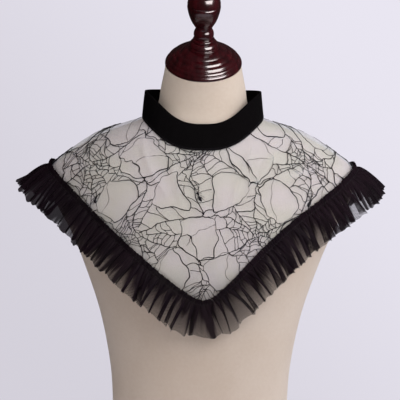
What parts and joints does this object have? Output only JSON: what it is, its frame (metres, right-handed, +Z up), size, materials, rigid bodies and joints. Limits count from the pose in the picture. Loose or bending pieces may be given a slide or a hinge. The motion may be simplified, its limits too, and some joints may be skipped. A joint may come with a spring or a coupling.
{
  "type": "detachable mesh collar on a dress form",
  "caption": "Sheer lace yoke collar with a stand-up neck band and a gathered ruffle, resting on a limbless dress form with a turned wooden neck cap.",
  "frame": {"origin": "middle of the dress form's flat underside, on the surface that it stands on", "axes": "+Z up through the neck, -Y the wearer's front, +X the wearer's left"},
  "size_m": [0.4795, 0.2495, 0.7717],
  "materials": {
    "jersey": "cream knitted jersey over padding",
    "wood": "dark red-brown turned wood, gloss lacquer",
    "lace": "sheer pale lilac-grey net with black corded web threads",
    "band_cloth": "matte black woven cloth, doubled",
    "tulle": "fine stiff black tulle, raw edge",
    "button": "black, polished"
  },
  "bodies": {
    "root": {"dress_form": "jersey", "neck_cap": "wood", "cap_finial": "wood", "yoke_front": "lace", "yoke_back_left": "lace", "yoke_back_right": "lace", "neck_band": "band_cloth", "band_button": "button", "ruffle_front": "tulle", "ruffle_back_left": "tulle", "ruffle_back_right": "tulle"}
  },
  "joints": []
}
